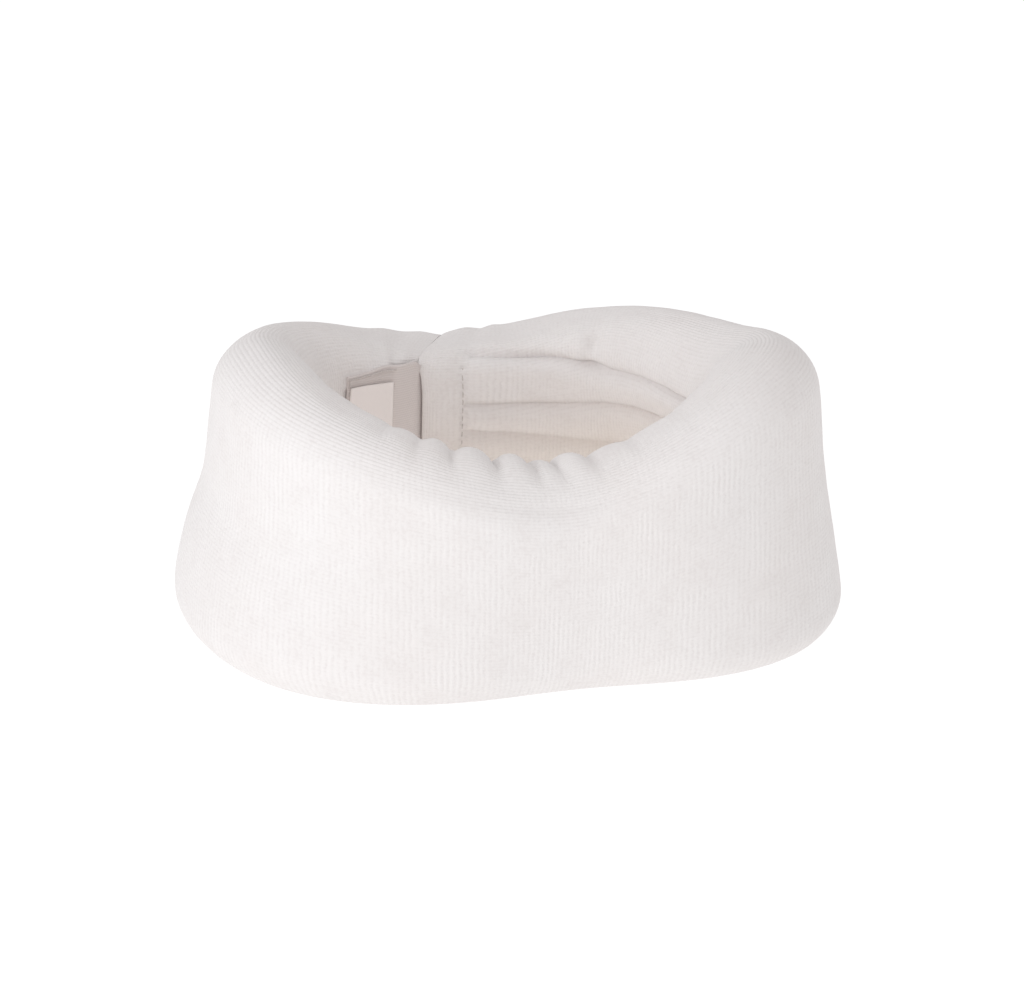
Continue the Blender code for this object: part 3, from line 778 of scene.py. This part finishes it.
# ---- tape, label, loop patch -------------------------------------------------------------------------------------------
def offset_path(path, distance):
    p = np.array(path, float)
    t = np.gradient(p, axis=0)
    t /= np.linalg.norm(t, axis=1)[:, None]
    return p + np.stack([-t[:, 1], t[:, 0]], 1) * distance


def dense(path, step):
    p = np.array(path, float)
    seg = np.linalg.norm(np.diff(p, axis=0), axis=1)
    run = np.concatenate([[0], np.cumsum(seg)])
    at = np.linspace(0, run[-1], max(3, int(run[-1] / step) + 1))
    q = np.stack([np.interp(at, run, p[:, k]) for k in (0, 1)], 1)
    for _ in range(6):
        q[1:-1] = (q[:-2] + 2 * q[1:-1] + q[2:]) / 4
    return q, at


def past_gap(s):
    """The same place on the strip's own curve, for a band that runs on past the left end."""
    return np.where(s < CURVE_S[0], s + CURVE_S[-1] - CURVE_S[0], s)


def ribbon(name, path, thick, low, high, step=0.8, edge=0.35, lift=None, rise=None, corner=0.0):
    """A soft band along the (s, w) path with rounded long edges; lift(run, z) moves it along its own normal."""
    q, run = dense(path, step)
    cols = [low + (high - low) * k / 60.0 for k in range(61)]
    cols = [low, low + 0.15, low + edge] + cols[1:-1] + [high - edge, high - 0.15, high]
    cols = np.array(sorted(cols))
    prof = np.sqrt(np.clip(1 - (np.clip((low + edge - cols) / edge, 0, 1)) ** 2, 0, 1)) * np.sqrt(np.clip(1 - (np.clip((cols - high + edge) / edge, 0, 1)) ** 2, 0, 1))
    prof = 0.25 + 0.75 * prof
    ends = np.clip(np.minimum(run, run[-1] - run) / edge, 0, 1)
    ends = 0.35 + 0.65 * np.sqrt(1 - (1 - ends) ** 2)
    half = thick / 2 * ends[:, None] * prof[None, :]
    L = np.zeros(half.shape) if lift is None else lift(run[:, None], cols[None, :])
    t = np.gradient(q, axis=0)
    t /= np.linalg.norm(t, axis=1)[:, None]
    nrm = np.stack([-t[:, 1], t[:, 0]], 1)
    Z = cols[None, :] + (0.0 if rise is None else rise(run)[:, None] * ((cols - low) / (high - low))[None, :] ** 3)
    Z = np.array(np.broadcast_to(Z, half.shape))
    if corner:                                        # the far end has rounded corners
        x = np.clip(corner - (run[-1] - run), 0, corner)
        cut = corner - np.sqrt(np.maximum(corner ** 2 - x ** 2, 0.0))
        mid = (low + high) / 2
        Z = mid + (Z - mid) * (1 - cut / (high - low) * 2)[:, None]
    sides = []
    for sign in (1, -1):
        d = L + sign * half
        a = q[:, None, :] + nrm[:, None, :] * d[..., None]
        sides.append(place(past_gap(a[..., 0]), a[..., 1], Z))
    n, m = half.shape
    verts = np.concatenate([sides[0].reshape(-1, 3), sides[1].reshape(-1, 3)])
    faces, uvs = [], []
    off = n * m
    for i in range(n - 1):
        for j in range(m - 1):
            a, b, c, d = i * m + j, (i + 1) * m + j, (i + 1) * m + j + 1, i * m + j + 1
            t4 = [(run[i], cols[j]), (run[i + 1], cols[j]), (run[i + 1], cols[j + 1]), (run[i], cols[j + 1])]
            faces.append((a, b, c, d))
            uvs += t4
            faces.append((off + d, off + c, off + b, off + a))
            uvs += t4[::-1]
    for i in range(n - 1):
        for j, rev in ((0, False), (m - 1, True)):
            a, b = i * m + j, (i + 1) * m + j
            f = (a, off + a, off + b, b) if not rev else (b, off + b, off + a, a)
            faces.append(f)
            uvs += [(run[i], cols[j])] * 4
    for j in range(m - 1):
        for i, rev in ((0, True), (n - 1, False)):
            a, b = i * m + j, i * m + j + 1
            f = (a, off + a, off + b, b) if not rev else (b, off + b, off + a, a)
            faces.append(f)
            uvs += [(run[i], cols[j])] * 4
    ob = make_mesh(name, [tuple(p) for p in verts.tolist()], faces, np.array(uvs) / 1000.0)
    bm = bmesh.new()
    bm.from_mesh(ob.data)
    bmesh.ops.recalc_face_normals(bm, faces=bm.faces)
    bm.to_mesh(ob.data)
    bm.free()
    return ob


def stitches(name, points, normals, tangents, length=2.0, radius=0.22, sink=0.08):
    """Separate lock stitches: short rounded threads whose two ends dive into the cloth. Arrays are in metres and unit vectors."""
    verts, faces = [], []
    steps, ring = 7, 6
    for p, n, t in zip(points, normals, tangents):
        b = np.cross(n, t)
        base = len(verts)
        for i in range(steps):
            f = i / (steps - 1) * 2 - 1
            c = p + t * (f * length / 2000.0) + n * ((radius * (1 - abs(f) ** 3 * 1.6) - sink) / 1000.0)
            r = radius / 1000.0 * (1 - 0.45 * abs(f) ** 4)
            for k in range(ring):
                a = 2 * math.pi * k / ring
                verts.append(tuple(c + (n * math.sin(a) + b * math.cos(a)) * r))
        for i in range(steps - 1):
            for k in range(ring):
                k2 = (k + 1) % ring
                faces.append((base + i * ring + k, base + i * ring + k2, base + (i + 1) * ring + k2, base + (i + 1) * ring + k))
        faces.append(tuple(base + k for k in range(ring))[::-1])
        faces.append(tuple(base + (steps - 1) * ring + k for k in range(ring)))
    ob = make_mesh(name, verts, faces)
    bm = bmesh.new()
    bm.from_mesh(ob.data)
    bmesh.ops.recalc_face_normals(bm, faces=bm.faces)
    bm.to_mesh(ob.data)
    bm.free()
    ob.data.materials.append(MAT_THREAD)
    return ob


def surface_frame(s, w, z, outward):
    """Point, normal and the two in-surface directions of a wall-parallel surface at w."""
    p = place(s, w, z)
    ts = place(s + 0.2, w, z) - place(s - 0.2, w, z)
    tz = place(s, w, z + 0.2) - place(s, w, z - 0.2)
    ts, tz = ts / np.linalg.norm(ts), tz / np.linalg.norm(tz)
    n = np.cross(ts, tz)
    n /= np.linalg.norm(n)
    probe = place(s, w + (0.5 if outward else -0.5), z) - p
    if n @ probe < 0:
        n = -n
    return p, n, ts, tz


def stitch_run(name, path, w, outward, pitch=2.6, length=2.0, radius=0.22, sink=0.08, raise_by=0.0):
    """Stitches along a polyline of (s, z) points lying on the surface at w."""
    p = np.array(path, float)
    seg = np.linalg.norm(np.diff(p, axis=0), axis=1)
    run = np.concatenate([[0], np.cumsum(seg)])
    count = max(2, int(run[-1] / pitch))
    pts, nrm, tan = [], [], []
    for k in range(count):
        at = (k + 0.5) * run[-1] / count
        s, z = np.interp(at, run, p[:, 0]), np.interp(at, run, p[:, 1])
        i = min(int(np.searchsorted(run, at)) - 1, len(seg) - 1)
        ds, dz = (p[i + 1] - p[i]) / seg[i]
        o, n, ts, tz = surface_frame(s, w, z, outward)
        t = ts * ds + tz * dz
        t /= np.linalg.norm(t)
        pts.append(o + n * raise_by / 1000.0)
        nrm.append(n)
        tan.append(t)
    return stitches(name, pts, nrm, tan, length, radius, sink)


TAPE = 1.3
clear = 0.3 + 0.7
bend = END_ROUND + clear
loop_top = HALF + 0.3 + 1.2
tab_w = loop_top + 0.3 + 0.6 + 0.3 + 0.7
gap_s = S_LEFT - clear - 0.7
# one woven band: sewn inside the left end, out through the gap, and back over the right end as the closure's tab, shown
# closed
path = [(S_LEFT + TAPE_REACH - (TAPE_REACH - END_ROUND) * k / 8, -HALF - clear) for k in range(9)]
path += [(S_LEFT + END_ROUND - (bend + 0.7) * math.sin(math.radians(a)) - 0.3 * math.sin(math.radians(2 * a)) - 0.5 * a / 90.0, -HALF + END_ROUND - bend * math.cos(math.radians(a))) for a in range(9, 91, 9)]
path += [(gap_s - 0.5 * (1 - k / 6), -HALF + END_ROUND + (2 * HALF - END_ROUND - 0.6) * k / 6) for k in range(1, 7)]
path += [(gap_s - 4.0 * (1 - math.cos(math.radians(a))), HALF - 0.6 + 4.0 * math.sin(math.radians(a))) for a in range(10, 91, 10)]
path += [(gap_s - 4.0 - (TAB_REACH - 4.0) * k / 10, tab_w) for k in range(1, 11)]


def tape_lift(run, z):
    inside = smooth((30.0 - run) / 8.0)
    beyond = smooth((run - 66.0) / 10.0)
    uneven = 0.06 * noise(run + 0 * z, z + 0 * run, 17.0, 5)
    return (uneven - 0.8 * smooth((z - 51.0) / 9.0)) * inside + 2.0 * uneven * beyond


def tape_rise(run):
    return 1.5 * smooth((run - 4.0) / 16.0) - 6.0 * smooth((run - 33.5) / 7.0) + 3.0 * np.clip((run - 56.0) / 40.0, 0, 1)


tape = ribbon("hook_tape_band", path, TAPE, TAPE_LOW, TAPE_HIGH, lift=tape_lift, rise=tape_rise, corner=6.0)
tape.data.materials.append(MAT_TAPE)
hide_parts("hook_tape", "hook_tab")
tape_hinge = (tuple(place(S_RIGHT + END_GAP - clear, HALF - 0.5, 34.0).tolist()), tuple(place(S_RIGHT + END_GAP - clear - 5.5, tab_w + 0.3, 34.0).tolist()))
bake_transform(tape)

label_w = -HALF - 0.3 - 1.4 - 0.14
path = [(S_LEFT + LABEL_TO - (LABEL_TO - LABEL_FROM) * k / 6, label_w) for k in range(7)]
label = ribbon("care_label_blank", path, 0.34, LABEL_LOW, LABEL_HIGH, edge=0.2)
label.data.materials.append(MAT_LABEL)
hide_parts("size_label")
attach(label, "left_rear")

loop_w = HALF + 0.3 + 0.6
path = [(S_RIGHT - LOOP_FROM - (LOOP_TO - LOOP_FROM) * k / 12, loop_w) for k in range(13)]
loop = ribbon("loop_patch_pile", path, 1.2, LOOP_LOW, LOOP_HIGH, lift=lambda run, z: 0.12 * noise(run + 0 * z, z + 0 * run, 14.0, 8))
loop.data.materials.append(MAT_LOOP)
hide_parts("loop_patch")
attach(loop, "right_rear")

# stitching
e = 1.6
a0, a1, z0, z1 = S_LEFT + 6.0, S_LEFT + TAPE_REACH - 0.7, TAPE_LOW + e, TAPE_HIGH - 0.9
st = stitch_run("hook_tape_thread", [(a0, z0), (a1, z0), (a1, z1), (a1 - 9, z1 + 0.5), (a1 - 17, z1 + 1.2), (a0, z1 + 1.2)], -HALF - 0.3 - 1.4 + 0.5, False)
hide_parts("hook_tape_stitching")
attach(st, "left_rear")

a0, a1, z0, z1 = S_RIGHT - LOOP_TO + e, S_RIGHT - LOOP_FROM - e, LOOP_LOW + e, LOOP_HIGH - e
st = stitch_run("loop_patch_thread", [(a0, z0), (a1, z0), (a1, z1), (a0, z1), (a0, z0)], HALF + 0.3 + 1.2 - 0.05, True)
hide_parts("loop_patch_stitching")
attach(st, "right_rear")



def hem_seam(name, s_at, side, low, high, pitch=2.5, length=1.7, radius=0.2, raise_by=-0.06):
    """Stitches up the cover's own surface at one station; side is -1 for the inner wall and 1 for the outer."""
    i = row_near(s_at)
    j = np.where((SECT_W[i] * side > 2.0) & (SECT_Z[i] > low) & (SECT_Z[i] < high))[0]
    p, n = COVER_P[i, j], COVER_N[i, j]
    t = np.gradient(p, axis=0)
    t /= np.linalg.norm(t, axis=1)[:, None]
    run = np.concatenate([[0], np.cumsum(np.linalg.norm(np.diff(p, axis=0), axis=1))]) * 1000.0
    pick = [int(np.argmin(np.abs(run - at))) for at in np.arange(pitch / 2, run[-1], pitch)]
    return stitches(name, p[pick] + n[pick] * raise_by / 1000.0, n[pick], t[pick], length, radius, 0.1)


st = hem_seam("right_hem_thread", S_RIGHT - HEM_IN, -1, HEM_LOW, 58.8)
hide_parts("right_hem_stitching")
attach(st, "right_rear")
st = hem_seam("left_hem_thread", S_LEFT + HEM_IN, 1, HEM_LOW, 58.0)
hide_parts("left_hem_stitching")
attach(st, "left_rear")

# ---- floor, light, camera ----------------------------------------------------------------------------------------------
def area(name, location, target, size, power, colour):
    data = bpy.data.lights.new(name, "AREA")
    data.shape = "RECTANGLE"
    data.size, data.size_y = size
    data.energy = power
    data.color = colour
    ob = bpy.data.objects.new(name, data)
    ob.location = location
    ob.rotation_mode = "QUATERNION"
    ob.rotation_quaternion = (Vector(target) - Vector(location)).to_track_quat("-Z", "Y")
    bpy.context.scene.collection.objects.link(ob)
    return ob


floor_mesh = bpy.data.meshes.new("floor")
floor_mesh.from_pydata([(-6, -6, 0), (6, -6, 0), (6, 6, 0), (-6, 6, 0)], [], [(0, 1, 2, 3)])
floor = bpy.data.objects.new("floor", floor_mesh)
floor.location = (0, 0, -0.0003)
bpy.context.scene.collection.objects.link(floor)
fm = Nodes("floor_white", 1.0)
fm.b.inputs["Base Color"].default_value = (0.25, 0.25, 0.25, 1)
fm.b.inputs["Specular IOR Level"].default_value = 0.0
fm.b.inputs["Emission Color"].default_value = (1, 1, 1, 1)
fm.b.inputs["Emission Strength"].default_value = 0.86
floor_mesh.materials.append(fm.m)

# a bright horizon that dims towards the ceiling, so walls are lit a little more than tops
world = bpy.context.scene.world or bpy.data.worlds.new("studio")
bpy.context.scene.world = world
world.use_nodes = True
wt = world.node_tree
bg = wt.nodes.get("Background") or wt.nodes.new("ShaderNodeBackground")
sky = wt.nodes.new("ShaderNodeTexCoord")
sep = wt.nodes.new("ShaderNodeSeparateXYZ")
wt.links.new(sky.outputs["Generated"], sep.inputs["Vector"])
ramp = wt.nodes.new("ShaderNodeValToRGB")
ramp.color_ramp.elements[0].position, ramp.color_ramp.elements[0].color = 0.0, (0.915, 0.932, 0.952, 1)
ramp.color_ramp.elements[1].position, ramp.color_ramp.elements[1].color = 1.0, (0.548, 0.535, 0.534, 1)
mid_stop = ramp.color_ramp.elements.new(0.35)
mid_stop.color = (0.685, 0.682, 0.689, 1)
wt.links.new(sep.outputs["Z"], ramp.inputs["Fac"])
wt.links.new(ramp.outputs["Color"], bg.inputs["Color"])
bg.inputs["Strength"].default_value = 0.952

area("key", (-0.95, -1.0, 0.50), (0, 0, 0.03), (0.9, 0.7), 5.85, (0.962, 1.0, 1.035))
area("top", (0.1, -0.1, 1.3), (0, 0, 0.03), (1.0, 1.0), 1.8, (1.0, 0.985, 0.98))
area("front", (-0.35, -0.85, 0.9), (0, 0, 0.03), (0.7, 0.5), 1.1, (1.0, 0.995, 0.99))

# camera: about 21 degrees above level, one metre away, in line with the front
ELEVATION, DISTANCE = math.radians(21.059), 1.0
forward = Vector((0, math.cos(ELEVATION), -math.sin(ELEVATION)))
up = Vector((0, math.sin(ELEVATION), math.cos(ELEVATION)))
aim = Vector((SHIFT[0] / 1000.0, SHIFT[1] / 1000.0, 0.035))
cam_data = bpy.data.cameras.new("camera")
cam = bpy.data.objects.new("camera", cam_data)
cam_data.sensor_width = 36.0
cam_data.lens = 135.4
cam.location = aim - forward * DISTANCE + Vector((0.001823, 0, 0)) - up * 0.002077
cam.rotation_mode = "QUATERNION"
cam.rotation_quaternion = forward.to_track_quat("-Z", "Y")
cam_data.clip_start, cam_data.clip_end = 0.02, 30.0
bpy.context.scene.collection.objects.link(cam)
bpy.context.scene.camera = cam
bpy.context.scene.view_settings.view_transform = "Standard"
